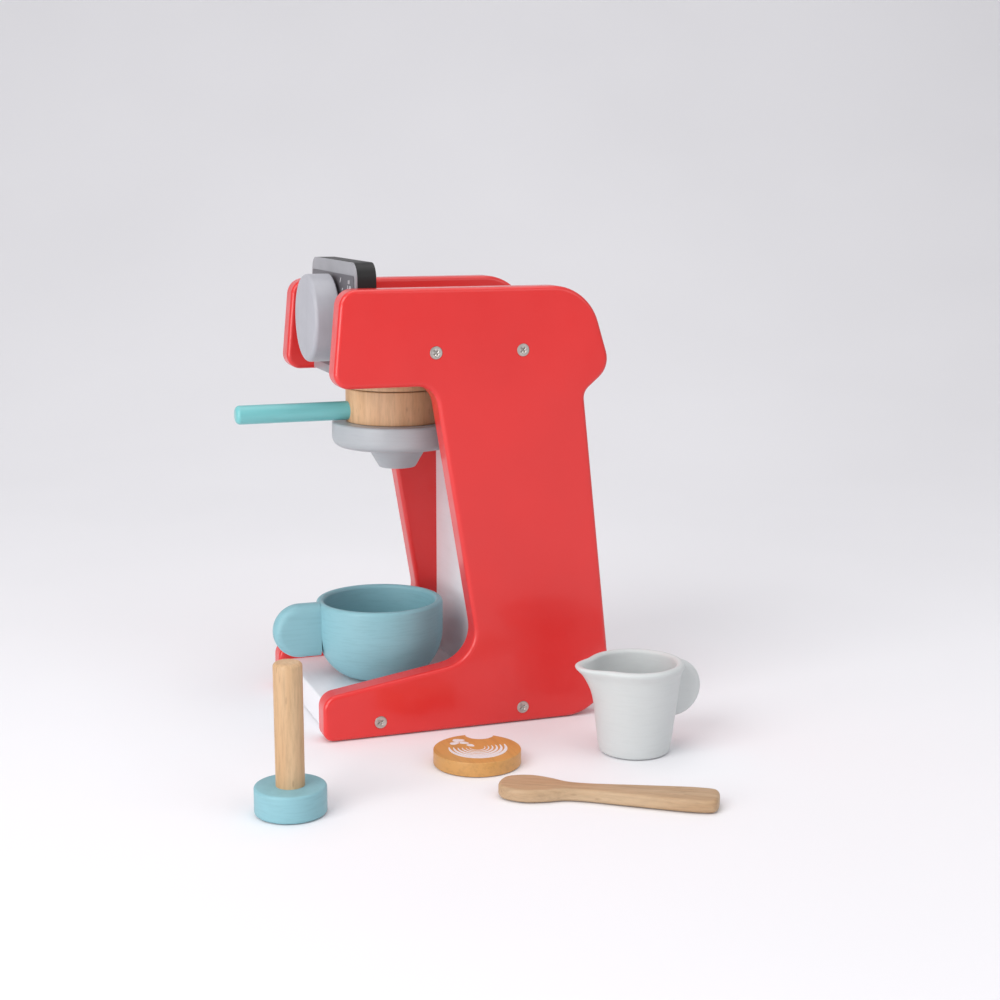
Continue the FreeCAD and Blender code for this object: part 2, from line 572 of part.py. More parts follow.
# Latte disc with a half-round finger notch in its rim.
latte_soft = rounded("latte_soft", rod("latte_raw", "latte_rad", "latte_thick", "latte_x", "latte_y", "0"),
                     "latte_round", lambda e: is_ring(e))
latte_disc = cut("latte_disc", latte_soft, [
    rod("notch", "notch_rad", "20", "latte_x + latte_rad * cos(notch_turn * 1deg)",
        "latte_y + latte_rad * sin(notch_turn * 1deg)", "-5"),
])


# Spoon: a flat paddle with a broad end, a narrow neck and a handle that widens again.
def spoon_shape():
    bowl, neck, end = size("spoon_bowl"), size("spoon_neck"), size("spoon_end")
    length, thick = size("spoon_long"), size("spoon_thick")
    half = [(0.0, 0), (0.019, bowl * 0.62), (0.069, bowl * 0.9), (0.147, bowl), (0.234, bowl * 0.8),
            (0.312, neck * 1.1), (0.398, neck), (0.649, end * 0.78), (0.913, end * 0.97), (0.986, end * 0.8),
            (1.0, 0)]
    points = [V(length * u, v, 0) for u, v in half] + [V(length * u, -v, 0) for u, v in reversed(half[1:-1])]
    curve = Part.BSplineCurve()
    curve.interpolate(points, PeriodicFlag=True)
    shape = Part.Face(Part.Wire(curve.toShape())).extrude(V(0, 0, thick))
    rims = [e for e in shape.Edges if e.BoundBox.ZLength < 0.01]
    return shape.makeFillet(size("spoon_round"), rims)


spoon = solid("spoon", spoon_shape(), FreeCAD.Placement(V(size("spoon_x"), size("spoon_y"), 0),
                                                         FreeCAD.Rotation(V(0, 0, 1), size("spoon_turn"))))

NODES = [
    right_side_panel, left_side_panel, right_side_screws, left_side_screws,
    base_board, back_board, head_shelf, wall_dowels, control_dowels,
    control_board, control_face, display_panel, knob_spacer,
    knob, knob_axle, knob_retainer, knob_screw,
    brew_head, brew_head_magnets, brew_head_screws,
    portafilter_basket, filter_magnets, portafilter_dish, portafilter_nozzle, portafilter_pin,
    portafilter_handle,
    cup_body, cup_handle, cup_dowel,
    jug_body, jug_handle, jug_dowel,
    tamper_base, grip, latte_disc, spoon,
]
doc.recompute()
for obj in doc.Objects:
    if "Invalid" in obj.State or "Error" in obj.State:
        raise RuntimeError(f"{obj.Name} failed: {obj.State}")
os.makedirs("parts", exist_ok=True)
for node in NODES:
    node.Label = node.Name
    shape = node.Shape
    if shape.isNull() or not shape.isValid() or shape.Volume <= 0:
        raise RuntimeError(f"{node.Name}: bad shape")
    shape.exportStep(f"parts/{node.Label}.step")
    b = shape.BoundBox
    print(f"{node.Label:24s} {len(shape.Solids)} solid(s) {shape.Volume:10.1f} mm3  "
          f"x {b.XMin:7.1f} {b.XMax:7.1f}  y {b.YMin:7.1f} {b.YMax:7.1f}  z {b.ZMin:6.1f} {b.ZMax:6.1f}")
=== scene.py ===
import math

import bmesh
import bpy
from mathutils import Matrix, Vector


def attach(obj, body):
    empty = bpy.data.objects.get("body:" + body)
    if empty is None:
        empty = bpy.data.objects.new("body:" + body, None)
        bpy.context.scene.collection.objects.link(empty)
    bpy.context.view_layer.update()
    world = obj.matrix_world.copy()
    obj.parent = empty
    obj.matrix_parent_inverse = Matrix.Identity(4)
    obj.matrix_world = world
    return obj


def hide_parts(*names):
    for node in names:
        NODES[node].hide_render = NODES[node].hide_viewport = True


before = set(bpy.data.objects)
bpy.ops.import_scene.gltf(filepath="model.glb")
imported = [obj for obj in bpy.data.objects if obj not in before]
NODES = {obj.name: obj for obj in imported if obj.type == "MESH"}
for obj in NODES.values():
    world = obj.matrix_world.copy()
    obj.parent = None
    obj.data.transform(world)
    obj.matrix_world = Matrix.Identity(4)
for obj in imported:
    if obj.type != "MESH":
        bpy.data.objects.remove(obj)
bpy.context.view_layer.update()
MM = 0.001


# Paints and woods. Every pattern is in Object coordinates, in metres.

COAT_ROUGHNESS = 0.12

# How fine each pattern is: about this many features to a metre.
TONE_SCALE = 14
PEEL_SCALE = 420
GRAIN_SCALE = 330
GLOSS_SCALE = 60
BAND_SCALE = 75
FIBRE_SCALE = 620
FLECK_SCALE = 520.0
PATCH_SCALE = 55
UNEVEN_SCALE = 1500
BLOTCH_SCALE = 300
COVER_SCALE = 700

# How a pattern is stretched: not at all, long in one axis, or as level rings round a turned piece.
PLAIN = (1, 1, 1)
PAINTED_GRAIN = {"X": (0.07, 1, 1), "Y": (1, 0.07, 1), "Z": (1, 1, 0.07), "ring": (0.22, 0.22, 2.6)}
BEECH_GRAIN = {"X": (0.10, 1, 1), "Z": (1, 1, 0.10)}
BEECH_FLECK = {"X": (0.16, 1, 0.55), "Z": (1, 0.55, 0.16)}


def material(name, color, roughness, coat=0.0, metallic=0.0):
    """A new material and its shader node, with the plain values on the shader's own sockets."""
    mat = bpy.data.materials.new(name)
    mat.use_nodes = True
    shader = mat.node_tree.nodes["Principled BSDF"]
    shader.inputs["Base Color"].default_value = (*color, 1)
    shader.inputs["Roughness"].default_value = roughness
    shader.inputs["Metallic"].default_value = metallic
    shader.inputs["Coat Weight"].default_value = coat
    shader.inputs["Coat Roughness"].default_value = COAT_ROUGHNESS
    return mat, shader


def add(mat, kind, **values):
    """A node of that kind, with its settings and its input values."""
    node = mat.node_tree.nodes.new(kind)
    for key, value in values.items():
        if key in node.inputs.keys():
            node.inputs[key].default_value = value
        else:
            setattr(node, key, value)
    return node


def link(mat, source, target):
    mat.node_tree.links.new(source, target)


def stretched(mat, scale, turn=(0, 0, 0)):
    """Object coordinates, turned and then stretched."""
    where = add(mat, "ShaderNodeTexCoord")
    turned_to = add(mat, "ShaderNodeMapping")
    turned_to.inputs["Rotation"].default_value = turn
    link(mat, where.outputs["Object"], turned_to.inputs["Vector"])
    drawn = add(mat, "ShaderNodeMapping")
    drawn.inputs["Scale"].default_value = scale
    link(mat, turned_to.outputs["Vector"], drawn.inputs["Vector"])
    return drawn.outputs["Vector"]


def noise(mat, vector, scale, detail=3.0, rough=0.5):
    node = add(mat, "ShaderNodeTexNoise", Scale=scale, Detail=detail, Roughness=rough)
    link(mat, vector, node.inputs["Vector"])
    return node.outputs["Fac"]


def ramp(mat, value, stops):
    """A colour ramp over (place, grey or colour) stops."""
    node = add(mat, "ShaderNodeValToRGB")
    band = node.color_ramp
    while len(band.elements) < len(stops):
        band.elements.new(0.5)
    for element, (place, color) in zip(band.elements, stops):
        element.position = place
        element.color = (*color, 1) if isinstance(color, tuple) else (color, color, color, 1)
    link(mat, value, node.inputs["Fac"])
    return node.outputs["Color"]


def blend_colors(mat, amount, first, second, mode="MIX"):
    node = add(mat, "ShaderNodeMix", data_type="RGBA", blend_type=mode)
    inputs = ((node.inputs["Factor"], amount), (node.inputs["A"], first), (node.inputs["B"], second))
    for socket, value in inputs:
        if isinstance(value, bpy.types.NodeSocket):
            link(mat, value, socket)
        elif isinstance(value, tuple):
            socket.default_value = (*value, 1)
        else:
            socket.default_value = value
    return next(o for o in node.outputs if o.type == "RGBA")


def add_bump(mat, shader, layers):
    """Bumps in a chain: each layer is (height socket, depth in metres)."""
    normal = None
    for height, depth in layers:
        node = add(mat, "ShaderNodeBump", Strength=1.0, Distance=depth)
        link(mat, height, node.inputs["Height"])
        if normal is not None:
            link(mat, normal, node.inputs["Normal"])
        normal = node.outputs["Normal"]
    link(mat, normal, shader.inputs["Normal"])


def linear(red, green, blue):
    """Linear colour from the 0 to 255 values that a screen shows."""
    return tuple((v / 255 / 12.92) if v / 255 < 0.04045 else ((v / 255 + 0.055) / 1.055) ** 2.4
                 for v in (red, green, blue))


def paint(name, color, roughness=0.3, coat=0.25, grain=0.0, along="Z", spread=0.05, peel=0.00002):
    """Sprayed paint over wood or board: soft tone changes, a faint orange peel, and where grain is above 0
    the wood's lines showing through."""
    mat, shader = material(name, color, roughness, coat)
    flat = stretched(mat, PLAIN)
    darker = tuple(c * (1 - spread) for c in color)
    lighter = tuple(min(1, c * (1 + spread)) for c in color)
    tone = ramp(mat, noise(mat, flat, TONE_SCALE, 3), [(0.3, darker), (0.7, lighter)])
    layers = [(noise(mat, flat, PEEL_SCALE, 2), peel)]
    if grain:
        lines = noise(mat, stretched(mat, PAINTED_GRAIN[along]), GRAIN_SCALE, 4, 0.65)
        streak = ramp(mat, lines, [(0.36, 1 - 0.5 * grain), (0.52, 1.0)])
        tone = blend_colors(mat, 1.0, tone, streak, "MULTIPLY")
        layers.append((lines, 0.00006 * grain + 0.00002))
    link(mat, tone, shader.inputs["Base Color"])
    gloss = ramp(mat, noise(mat, flat, GLOSS_SCALE, 4), [(0.3, roughness * 0.82), (0.7, roughness * 1.2)])
    link(mat, gloss, shader.inputs["Roughness"])
    add_bump(mat, shader, layers)
    return mat


def beech(name, along="Z", turn=(0, 0, 0), tint=(1.0, 1.0, 1.0), fleck=1.0):
    """Waxed beech: long grain, faint growth bands, and the short dark flecks that beech shows."""
    pale = tuple(c * t for c, t in zip(linear(214, 186, 152), tint))
    warm = tuple(c * t for c, t in zip(linear(196, 160, 122), tint))
    mat, shader = material(name, pale, 0.52, 0.05)
    growth = noise(mat, stretched(mat, BEECH_GRAIN[along], turn), BAND_SCALE, 3, 0.55)
    bands = ramp(mat, growth, [(0.32, warm), (0.66, pale)])
    fibres = noise(mat, stretched(mat, BEECH_GRAIN[along], turn), FIBRE_SCALE, 4, 0.7)
    fibre_tone = ramp(mat, fibres, [(0.34, 0.84), (0.56, 1.0)])
    body = blend_colors(mat, 1.0, bands, fibre_tone, "MULTIPLY")
    cells = add(mat, "ShaderNodeTexVoronoi", Scale=FLECK_SCALE, Randomness=1.0)
    link(mat, stretched(mat, BEECH_FLECK[along], turn), cells.inputs["Vector"])
    spots = ramp(mat, cells.outputs["Distance"], [(0.12, 1.0), (0.22, 0.0)])
    patches = ramp(mat, noise(mat, stretched(mat, PLAIN), PATCH_SCALE, 2), [(0.42, 0.0), (0.62, 1.0)])
    mask = blend_colors(mat, 1.0, spots, patches, "MULTIPLY")
    strength = blend_colors(mat, 1.0, mask, (0.55 * fleck,) * 3, "MULTIPLY")
    dark = tuple(c * 0.55 for c in warm)
    tone = blend_colors(mat, strength, body, dark)
    link(mat, tone, shader.inputs["Base Color"])
    rough = ramp(mat, fibres, [(0.3, 0.62), (0.7, 0.45)])
    link(mat, rough, shader.inputs["Roughness"])
    add_bump(mat, shader, [(fibres, 0.00007), (cells.outputs["Distance"], 0.00002)])
    return mat


def metal(name, color, roughness):
    """Zinc-plated steel with a fine unevenness and slight blotches."""
    mat, shader = material(name, color, roughness, 0.0, 1.0)
    marks = noise(mat, stretched(mat, PLAIN), UNEVEN_SCALE, 3)
    blotch = noise(mat, stretched(mat, PLAIN), BLOTCH_SCALE, 2)
    dull = tuple(c * 0.82 for c in color)
    link(mat, ramp(mat, blotch, [(0.3, dull), (0.7, color)]), shader.inputs["Base Color"])
    gloss = ramp(mat, marks, [(0.3, roughness * 0.8), (0.7, roughness * 1.25)])
    link(mat, gloss, shader.inputs["Roughness"])
    add_bump(mat, shader, [(marks, 0.00001)])
    return mat


def ink(name, color, roughness=0.45):
    """Screen-printed ink with slightly uneven cover."""
    mat, shader = material(name, color, roughness, 0.0)
    cover = noise(mat, stretched(mat, PLAIN), COVER_SCALE, 3)
    thin = tuple(c * 0.9 for c in color)
    link(mat, ramp(mat, cover, [(0.3, thin), (0.6, color)]), shader.inputs["Base Color"])
    add_bump(mat, shader, [(cover, 0.00001)])
    return mat


RED_PAINT = paint("red_lacquer", linear(216, 36, 34), 0.38, 0.45, 0.0, spread=0.035, peel=0.00003)
WHITE_PAINT = paint("white_lacquer", linear(232, 230, 234), 0.34, 0.2, 0.05, "X")
JUG_WHITE = paint("jug_white", linear(202, 206, 206), 0.5, 0.05, 0.05, "ring", spread=0.02, peel=0.00004)
BLACK_PAINT = paint("black_lacquer", linear(14, 12, 13), 0.5, 0.0, 0.0, spread=0.12)
GREY_FACE = paint("grey_face_paint", linear(150, 150, 155), 0.4, 0.1, 0.08, "X")
KNOB_GREY = paint("knob_grey", linear(168, 168, 175), 0.4, 0.12, 0.05, "Z", spread=0.03)
DISH_GREY = paint("dish_grey", linear(168, 172, 176), 0.42, 0.1, 0.08, "ring", spread=0.03)
TEAL_PAINT = paint("teal_stain", linear(132, 179, 189), 0.5, 0.04, 0.14, "ring", spread=0.05, peel=0.00004)
TEAL_ROD = paint("teal_rod", linear(116, 190, 193), 0.34, 0.2, 0.12, "Y", spread=0.05)
TEAL_TAB = paint("teal_tab", linear(132, 179, 189), 0.5, 0.04, 0.12, "Y", spread=0.05, peel=0.00004)
CARAMEL = paint("caramel_paint", linear(206, 152, 86), 0.42, 0.12, 0.25, "X", spread=0.06)
DISPLAY = ink("display_ink", linear(92, 90, 95), 0.4)
WHITE_INK = ink("white_ink", linear(232, 230, 232))
BEECH_UP = beech("beech_upright", "Z", tint=(1.0, 0.96, 0.9))
BEECH_RED = beech("beech_basket", "Z", tint=(1.06, 0.94, 0.86))
BEECH_ACROSS = beech("beech_across", "X")
SPOON_TURN = math.radians(60.0)
BEECH_SPOON = beech("beech_spoon", "X", (0, 0, -SPOON_TURN), tint=(0.82, 0.80, 0.78), fleck=1.35)
STEEL = metal("plated_steel", linear(206, 200, 194), 0.34)
NYLON = paint("washer_nylon", linear(170, 170, 174), 0.45, 0.0)


# Meshes. Each function returns an object at the origin, with its place in its mesh.

TURNED_CORNER = 40
STACK_CORNER = 45
TAB_CORNER = 50
TAB_ARC_STEPS = 48
LONGEST_ROUND = 0.49


def mesh_object(name, verts, faces, mat):
    mesh = bpy.data.meshes.new(name)
    mesh.from_pydata(verts, [], faces)
    mesh.materials.append(mat)
    for polygon in mesh.polygons:
        polygon.use_smooth = True
    mesh.update()
    obj = bpy.data.objects.new(name, mesh)
    bpy.context.scene.collection.objects.link(obj)
    return obj


def outward(obj, merge=1e-7):
    """Merges doubles and turns the faces outwards."""
    work = bmesh.new()
    work.from_mesh(obj.data)
    bmesh.ops.remove_doubles(work, verts=work.verts, dist=merge)
    bmesh.ops.recalc_face_normals(work, faces=work.faces)
    work.to_mesh(obj.data)
    work.free()
    return obj


def sharp_by_angle(obj, degrees):
    """Smooth shading that breaks at real corners."""
    work = bmesh.new()
    work.from_mesh(obj.data)
    for edge in work.edges:
        if len(edge.link_faces) == 2:
            edge.smooth = edge.calc_face_angle(0) < math.radians(degrees)
    for face in work.faces:
        face.smooth = True
    work.to_mesh(obj.data)
    work.free()
    return obj


def soften(corners, steps):
    """A profile from (radius, height, round) corners in millimetres, each round drawn as an arc."""
    points = []
    count = len(corners)
    for i, (r, z, rnd) in enumerate(corners):
        here = Vector((r, z))
        if rnd <= 0 or i in (0, count - 1):
            points.append(here)
            continue
        before = Vector(corners[i - 1][:2]) - here
        after = Vector(corners[i + 1][:2]) - here
        a, b = before.normalized(), after.normalized()
        half = a.angle(b) / 2
        reach = min(rnd / math.tan(half), before.length * LONGEST_ROUND, after.length * LONGEST_ROUND)
        rad = reach * math.tan(half)
        centre = here + (a + b).normalized() * (rad / math.sin(half))
        start, end = here + a * reach - centre, here + b * reach - centre
        turn = start.angle_signed(end)
        for k in range(steps + 1):
            points.append(centre + Matrix.Rotation(-turn * k / steps, 2) @ start)
    return points


def lathe(name, corners, mat, centre, around="Z", segments=96, steps=6):
    """A turned piece: the profile's corners go round an axis through centre. Lengths in millimetres."""
    profile = soften(corners, steps)
    verts, faces = [], []
    count = len(profile)
    for s in range(segments):
        angle = 2 * math.pi * s / segments
        for p in profile:
            spot = Vector((p.x * math.cos(angle), p.x * math.sin(angle), p.y))
            if around == "-Y":
                spot = Vector((spot.x, -spot.z, spot.y))
            verts.append((spot + Vector(centre)) * MM)
    for s in range(segments):
        for k in range(count - 1):
            a, b = s * count + k, ((s + 1) % segments) * count + k
            faces.append((a, b, b + 1, a + 1))
    obj = mesh_object(name, verts, faces, mat)
    outward(obj)
    return sharp_by_angle(obj, TURNED_CORNER)


def dress(obj, body, nodes=()):
    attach(obj, body)
    if nodes:
        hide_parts(*nodes)


def level_stack(name, rings, mat, corner=STACK_CORNER):
    """A closed skin over a stack of rings with the same number of points, in millimetres."""
    verts = [tuple(c * MM for c in p) for ring in rings for p in ring]
    count = len(rings[0])
    faces = []
    for r in range(len(rings) - 1):
        for k in range(count):
            a, b = r * count + k, r * count + (k + 1) % count
            faces.append((a, b, b + count, a + count))
    faces.append(tuple(range(count)))
    faces.append(tuple(range((len(rings) - 1) * count, len(rings) * count)))
    obj = outward(mesh_object(name, verts, faces, mat))
    return sharp_by_angle(obj, corner)


def half_tab(name, mat, axis, rad, z, thick, edge, inner, way, steps=7):
    """A half-round upright tab as a stack of rounded slices, in millimetres. axis is the x and y of the
    round's middle. way is -1 or 1, for a round that faces -Y or +Y, and the flat side is at y = inner."""
    x, y = axis
    arc = [math.pi * k / TAB_ARC_STEPS for k in range(TAB_ARC_STEPS + 1)]
    outline = [(inner, z + rad)]
    outline += [(y + way * rad * math.sin(t), z + rad * math.cos(t)) for t in arc]
    outline.append((inner, z - rad))
    turns = [math.pi / 2 * k / steps for k in range(steps + 1)]
    slices = [(-1, t) for t in turns] + [(1, t) for t in reversed(turns)]
    stack = []
    for side, t in slices:
        across = side * (thick / 2 - edge + edge * math.cos(t))
        share = (rad - edge * (1 - math.sin(t))) / rad
        ring = []
        for oy, oz in outline:
            past = inner if oy == inner else y + (oy - y) * share
            ring.append((x + across, past, z + (oz - z) * share))
        stack.append(ring)
    return level_stack(name, stack, mat, TAB_CORNER)


def bowl_profile(rad, foot, low, bend, top, steps=26):
    """Radius and height along the cup's wall: flat foot, quarter ellipse, upright wall."""
    points = [(0.0, low)]
    for k in range(steps + 1):
        t = math.pi / 2 * k / steps
        points.append((foot + (rad - foot) * math.sin(t), bend - (bend - low) * math.cos(t)))
    points.append((rad, top))
    return points


# Places in millimetres: the middle of each round piece, and the spoon's tip, seen from above.
BREW = (0.0, -24.5)
LATTE = (124.7, -16.6)
JUG = (133.0, 75.0)
TAMPER = (163.5, -131.0)
CUP = (0.0, -36.7)
CUP_LOW = 18.1
SPOON = (173.5, -21.5)
KNOB_Z = 238.2

# Knob: a thick plain disc with a softly rounded face. Depths count forwards from the origin.
KNOB_RAD = 25.5
KNOB_BACK = 64.7
KNOB_FRONT = 80.1
KNOB_BEVEL = 0.8
KNOB_ROUND = 2.9
knob_line = [(0, KNOB_BACK, 0), (KNOB_RAD - KNOB_BEVEL, KNOB_BACK, 0),
             (KNOB_RAD, KNOB_BACK + KNOB_BEVEL, 0), (KNOB_RAD, KNOB_FRONT, KNOB_ROUND), (0, KNOB_FRONT, 0)]
knob = lathe("round_knob", knob_line, KNOB_GREY, (0, 0, KNOB_Z), "-Y", 128, 8)
dress(knob, "knob_set", ["knob"])

# Portafilter: turned basket with a bore for the spigot, dish, nozzle and the straight handle.
BASKET_RAD = 30.6
BASKET_LOW = 175.9
BASKET_TOP = 195.9
BASKET_EDGE = 0.8
BORE_RAD = 20
BORE_FLOOR = 182.9
basket_line = [(0, BORE_FLOOR, 0), (BORE_RAD, BORE_FLOOR, 0.4), (BORE_RAD, BASKET_TOP, 0.5),
               (BASKET_RAD, BASKET_TOP, BASKET_EDGE), (BASKET_RAD, BASKET_LOW, BASKET_EDGE),
               (0, BASKET_LOW, 0)]
basket = lathe("turned_basket", basket_line, BEECH_RED, (*BREW, 0), "Z", 128)
dress(basket, "portafilter", ["portafilter_basket"])

DISH_RAD = 39
DISH_LOW = 160.9
DISH_TOP_EDGE = 1.4
DISH_LOW_ROUND = 5.6
dish_line = [(0, BASKET_LOW, 0), (DISH_RAD, BASKET_LOW, DISH_TOP_EDGE), (DISH_RAD, DISH_LOW, DISH_LOW_ROUND),
             (0, DISH_LOW, 0)]
dish = lathe("filter_dish", dish_line, DISH_GREY, (*BREW, 0), "Z", 128, 9)
dress(dish, "portafilter", ["portafilter_dish"])

NOZZLE_TOP_RAD = 18.6
NOZZLE_LOW_RAD = 11
NOZZLE_LOW = 147.7
SPOUT_RAD = 3.0
SPOUT_DEEP = 5.0
SPOUT_TOP = NOZZLE_LOW + SPOUT_DEEP
nozzle_line = [(0, DISH_LOW, 0), (NOZZLE_TOP_RAD, DISH_LOW, 0), (NOZZLE_LOW_RAD, NOZZLE_LOW, 1.1),
               (SPOUT_RAD, NOZZLE_LOW, 0.7), (SPOUT_RAD, SPOUT_TOP, 0), (0, SPOUT_TOP, 0)]
nozzle = lathe("spout_nozzle", nozzle_line, DISH_GREY, (*BREW, 0), "Z", 96)
dress(nozzle, "portafilter", ["portafilter_nozzle"])

HANDLE_RAD = 5.6
HANDLE_Z = 182.9
HANDLE_INNER = 48.6
HANDLE_TIP = 122.5
HANDLE_ROUND = 4.8
handle_line = [(0, HANDLE_INNER, 0), (HANDLE_RAD, HANDLE_INNER, 0), (HANDLE_RAD, HANDLE_TIP, HANDLE_ROUND),
               (0, HANDLE_TIP, 0)]
lever = lathe("straight_handle", handle_line, TEAL_ROD, (0, 0, HANDLE_Z), "-Y", 64, 8)
dress(lever, "portafilter", ["portafilter_handle"])

# Cup: one turned bowl with a rounded rim, and a half-round handle glued to its front.
CUP_RAD = 38.7
CUP_TALL = 48.3
CUP_WALL = 4.7
CUP_BEND = 30.0
CUP_FLOOR = 5.0
CUP_RIM = CUP_WALL / 2
outer = bowl_profile(CUP_RAD, foot=14.0, low=0.0, bend=CUP_BEND, top=CUP_TALL)
inner = bowl_profile(CUP_RAD - CUP_WALL, foot=10.0, low=CUP_FLOOR, bend=CUP_BEND, top=CUP_TALL)
rim = [(CUP_RAD - CUP_RIM + CUP_RIM * math.cos(t), CUP_TALL - CUP_RIM + CUP_RIM * math.sin(t))
       for t in (math.pi * k / 12 for k in range(13))]
cup_line = [(r, z, 0) for r, z in outer[:-1] + rim + inner[-2::-1]]
cup = lathe("turned_cup", cup_line, TEAL_PAINT, (*CUP, CUP_LOW), "Z", 144)
dress(cup, "cup", ["cup_body"])
cup_tab = half_tab("cup_tab", TEAL_TAB, axis=(CUP[0], -87.0), rad=16.4, z=50.3, thick=12.0, edge=5.0,
                   inner=-74.9, way=-1)
dress(cup_tab, "cup", ["cup_handle"])

# Milk jug: level curves with a pouring lip, a rounded foot and a thick rounded rim.
JUG_TALL = 52.0
JUG_LOW_RAD = 20.2
JUG_WIDENING = 6.4
JUG_WALL = 3.6
JUG_RIM = JUG_WALL / 2
JUG_ROLL = 1.1
JUG_ROLL_AT = 49.8
JUG_ROLL_REACH = 2.6
LIP_OUT = 9.2
LIP_TURN = 1.5 * math.pi
LIP_SPREAD = 0.43
LIP_FROM = 0.55
FOOT_ROUND = 1.6
FLOOR_BEND = 8.0
FLOOR_ROUND = 3.0
OUTER_LEVELS = (6, 14, 22, 28, 32, 36, 39, 42, 44.5, 46, 47.2, 48.2, 49.2)
INNER_LEVELS = (49, 47, 44.5, 42, 39, 36, 32, 28, 22, 14, 8)
JUG_STEPS = 128


def jug_ring(height, inset, lies_at=None):
    """The jug's level curve at that height, drawn in by inset and laid at lies_at if that is given."""
    roll = JUG_ROLL * math.exp(-((height - JUG_ROLL_AT) / JUG_ROLL_REACH) ** 2) * (1 - inset / JUG_WALL)
    rad = JUG_LOW_RAD + JUG_WIDENING * height / JUG_TALL - inset + roll
    rise = max(0.0, (height / JUG_TALL - LIP_FROM) / (1 - LIP_FROM)) ** 1.7
    z = height if lies_at is None else lies_at
    ring = []
    for k in range(JUG_STEPS):
        angle = 2 * math.pi * k / JUG_STEPS
        away = math.remainder(angle - LIP_TURN, 2 * math.pi)
        reach = rad + LIP_OUT * rise * math.exp(-abs(away / LIP_SPREAD) ** 2.6)
        ring.append((JUG[0] + reach * math.cos(angle), JUG[1] + reach * math.sin(angle), z))
    return ring


jug_rings = [jug_ring(0.0, FOOT_ROUND * (1 - math.sin(t)), FOOT_ROUND * (1 - math.cos(t)))
             for t in (math.pi / 2 * k / 5 for k in range(6))]
jug_rings += [jug_ring(height, 0.0) for height in OUTER_LEVELS]
jug_rings += [jug_ring(JUG_TALL - JUG_RIM + JUG_RIM * math.sin(t), JUG_RIM - JUG_RIM * math.cos(t))
              for t in (math.pi * k / 12 for k in range(13))]
jug_rings += [jug_ring(height, JUG_WALL) for height in INNER_LEVELS]
for t in (math.pi / 2 * k / 4 for k in range(1, 5)):
    inset = JUG_WALL + FLOOR_ROUND * (1 - math.cos(t))
    jug_rings.append(jug_ring(FLOOR_BEND, inset, FLOOR_BEND - FLOOR_ROUND * math.sin(t)))
jug = level_stack("milk_jug", jug_rings, JUG_WHITE)
dress(jug, "jug", ["jug_body"])
jug_tab = half_tab("jug_tab", JUG_WHITE, axis=(JUG[0], JUG[1] + 23.1), rad=16.7, z=34.6, thick=10.0,
                   edge=4.4, inner=JUG[1] + 23.2, way=1)
dress(jug_tab, "jug", ["jug_handle"])

# Tamper: a turned foot and a dowel grip.
TAMPER_RAD = 18.7
TAMPER_TALL = 14.4
TAMPER_EDGE = 1.3
GRIP_RAD = 7.5
GRIP_LOW = 7
GRIP_TOP = 79.5
GRIP_ROUND = 2.2
foot_line = [(0, 0, 0), (TAMPER_RAD, 0, TAMPER_EDGE), (TAMPER_RAD, TAMPER_TALL, TAMPER_EDGE),
             (0, TAMPER_TALL, 0)]
foot = lathe("tamper_foot", foot_line, TEAL_PAINT, (*TAMPER, 0), "Z", 112)
dress(foot, "tamper", ["tamper_base"])
grip_line = [(0, GRIP_LOW, 0), (GRIP_RAD, GRIP_LOW, 0), (GRIP_RAD, GRIP_TOP, GRIP_ROUND), (0, GRIP_TOP, 0)]
grip = lathe("tamper_grip", grip_line, BEECH_UP, (*TAMPER, 0), "Z", 64, 8)
dress(grip, "tamper", ["tamper_handle"])


def slab(name, outline, low, high, edge, mat, steps=5):
    """A flat board with that outline in millimetres (counter-clockwise) and rounded edges."""
    count = len(outline)
    normals = []
    for k in range(count):
        ax, ay = outline[k - 1]
        bx, by = outline[(k + 1) % count]
        normals.append(Vector((by - ay, ax - bx)).normalized())
    turns = [math.pi / 2 * k / steps for k in range(steps + 1)]
    levels = [(edge * (1 - math.sin(t)), low + edge * (1 - math.cos(t))) for t in turns]
    levels += [(edge * (1 - math.sin(t)), high - edge * (1 - math.cos(t))) for t in reversed(turns)]
    stack = [[(x - n.x * inset, y - n.y * inset, z) for (x, y), n in zip(outline, normals)]
             for inset, z in levels]
    return level_stack(name, stack, mat)


# Latte disc, with a finger notch that is a round bite centred on its rim.
LATTE_RAD = 24.4
LATTE_THICK = 8.0
LATTE_EDGE = 0.5
NOTCH_RAD = 8
NOTCH_TURN = math.radians(158.0)
RIM_STEPS = 120
BITE_STEPS = 28


def notched_round():
    """The disc's outline, counter-clockwise: the rim from one end of the notch round to the other, and
    then the notch back to the start."""
    half_bite = 2 * math.asin(NOTCH_RAD / (2 * LATTE_RAD))
    points = []
    for k in range(RIM_STEPS + 1):
        t = NOTCH_TURN + half_bite + (2 * math.pi - 2 * half_bite) * k / RIM_STEPS
        points.append((LATTE[0] + LATTE_RAD * math.cos(t), LATTE[1] + LATTE_RAD * math.sin(t)))
    notch_x = LATTE[0] + LATTE_RAD * math.cos(NOTCH_TURN)
    notch_y = LATTE[1] + LATTE_RAD * math.sin(NOTCH_TURN)
    swing = math.pi / 2 - half_bite / 2
    for k in range(1, BITE_STEPS):
        t = NOTCH_TURN + math.pi + swing * (1 - 2 * k / BITE_STEPS)
        points.append((notch_x + NOTCH_RAD * math.cos(t), notch_y + NOTCH_RAD * math.sin(t)))
    return points


latte = slab("latte_round", notched_round(), 0.0, LATTE_THICK, LATTE_EDGE, CARAMEL)
dress(latte, "latte", ["latte_disc"])


# Spoon: a smooth closed curve through the same widths as the solid one.
SPOON_THICK = 7.0
SPOON_EDGE = 2.1


